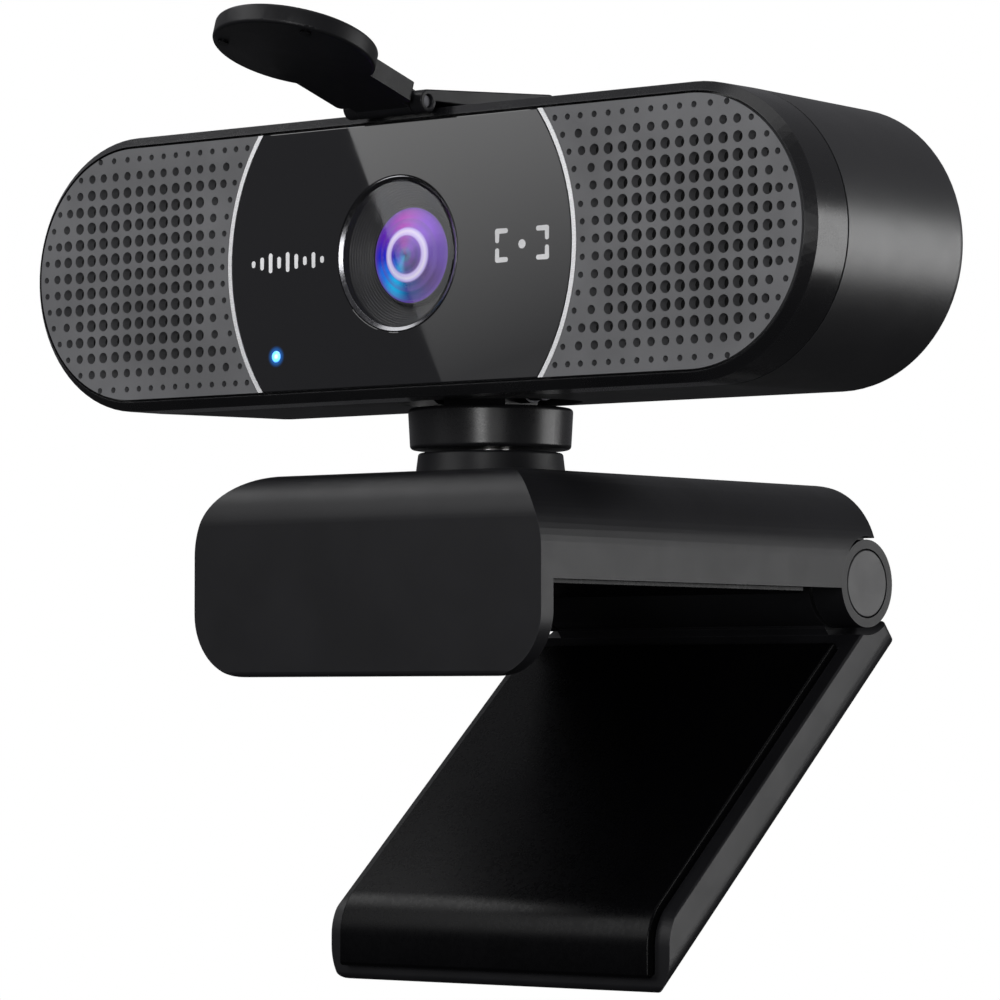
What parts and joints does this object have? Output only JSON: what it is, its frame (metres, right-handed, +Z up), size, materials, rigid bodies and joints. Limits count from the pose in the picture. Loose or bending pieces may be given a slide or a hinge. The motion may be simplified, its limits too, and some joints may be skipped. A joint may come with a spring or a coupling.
{
  "type": "clip-on desktop camera",
  "caption": "Desktop video camera with a pill-shaped head, flip-up lens cover, tilting and swivelling neck, and a folding clip that grips the top of a screen.",
  "frame": {"origin": "on the neck's swivel axis, in the plane of the pad that rests on top of the screen", "axes": "+Z up along the swivel axis, +X to the right of somebody who faces the lens, -Y out of the lens"},
  "size_m": [0.1004, 0.0783, 0.0948],
  "materials": {
    "satin_plastic": "satin charcoal moulded plastic with a fine grain",
    "hinge_cap_plastic": "fine satin",
    "bezel_plastic": "smooth satin",
    "neck_plastic": "semi-gloss",
    "grille_plastic": "matt grey",
    "soft_pad": "smooth soft-touch",
    "black_rubber": "matt",
    "inner_plastic": "matt black",
    "white_plastic": "natural",
    "steel": "zinc plated",
    "magnet_metal": "nickel plated",
    "brass": "turned",
    "copper": "enamelled wire",
    "silver_trim": "bright satin",
    "panel_glass": "polished",
    "panel_ink": "black print",
    "lens_glass": "purple and blue coated",
    "filter_glass": "coated",
    "sensor_glass": "polished",
    "light_plastic": "clear, lit cyan",
    "circuit_board": "solder mask",
    "mic_metal": "plated",
    "cloth_mesh": "fine woven mesh"
  },
  "bodies": {
    "clip": {"arm_shell": "satin_plastic", "arm_base_plate": "inner_plastic", "base_screws": "steel", "rest_pad": "soft_pad", "lip_pad": "soft_pad", "swivel_collar": "satin_plastic", "hinge_pin": "steel", "hinge_caps": "hinge_cap_plastic", "hinge_washers": "steel"},
    "neck": {"neck_cup": "neck_plastic", "swivel_stud": "steel", "swivel_washer": "steel", "swivel_spring": "steel", "swivel_nut": "steel"},
    "leg": {"leg_shell": "satin_plastic", "leg_pad": "soft_pad", "leg_plate": "steel", "leg_screws": "steel", "tripod_insert": "brass"},
    "head": {"front_bezel": "bezel_plastic", "rear_housing": "satin_plastic", "housing_screws": "steel", "cable_gland": "black_rubber", "panel_glass": "panel_glass", "panel_mask": "panel_ink", "trim_right": "silver_trim", "trim_left": "silver_trim", "grille_right": "grille_plastic", "grille_left": "grille_plastic", "mesh_right": "cloth_mesh", "mesh_left": "cloth_mesh", "mic_boots": "black_rubber", "mic_capsules": "mic_metal", "mic_boards": "circuit_board", "light_pipe": "light_plastic", "light_chip": "light_plastic", "lens_surround": "inner_plastic", "focus_housing": "inner_plastic", "focus_magnets": "magnet_metal", "ir_filter": "filter_glass", "image_sensor": "sensor_glass", "main_board": "circuit_board", "board_screws": "steel", "image_processor": "inner_plastic", "shield_can": "steel", "board_connector": "white_plastic", "tilt_bracket": "steel", "bracket_screws": "steel", "tilt_pin": "steel", "tilt_washers": "steel", "tilt_spring": "steel", "tilt_nut": "steel", "cover_base": "satin_plastic", "cover_pin": "steel"},
    "lens": {"lens_barrel": "inner_plastic", "front_lens": "lens_glass", "rear_lens": "lens_glass", "focus_coil": "copper"},
    "cover": {"cover_disc": "satin_plastic", "cover_nubs": "soft_pad"}
  },
  "joints": [
    {"name": "leg_fold", "type": "hinge", "parent": "clip", "child": "leg", "pos_m": [0, 0.03465, 0.00105], "axis": [1, 0, 0], "range_deg": [-41, 109]},
    {"name": "head_swivel", "type": "hinge", "parent": "clip", "child": "neck", "pos_m": [0, 0, 0.0114], "axis": [0, 0, 1], "continuous": true},
    {"name": "head_tilt", "type": "hinge", "parent": "neck", "child": "head", "pos_m": [0, 0, 0.0209], "axis": [1, 0, 0], "range_deg": [-12, 10]},
    {"name": "cover_flip", "type": "hinge", "parent": "head", "child": "cover", "pos_m": [0, -0.0158, 0.04755], "axis": [1, 0, 0], "range_deg": [-73, 107]},
    {"name": "lens_focus", "type": "slide", "parent": "head", "child": "lens", "axis": [0, -1, 0], "range_m": [0, 0.0003], "stiffness_N_per_m": 200}
  ]
}
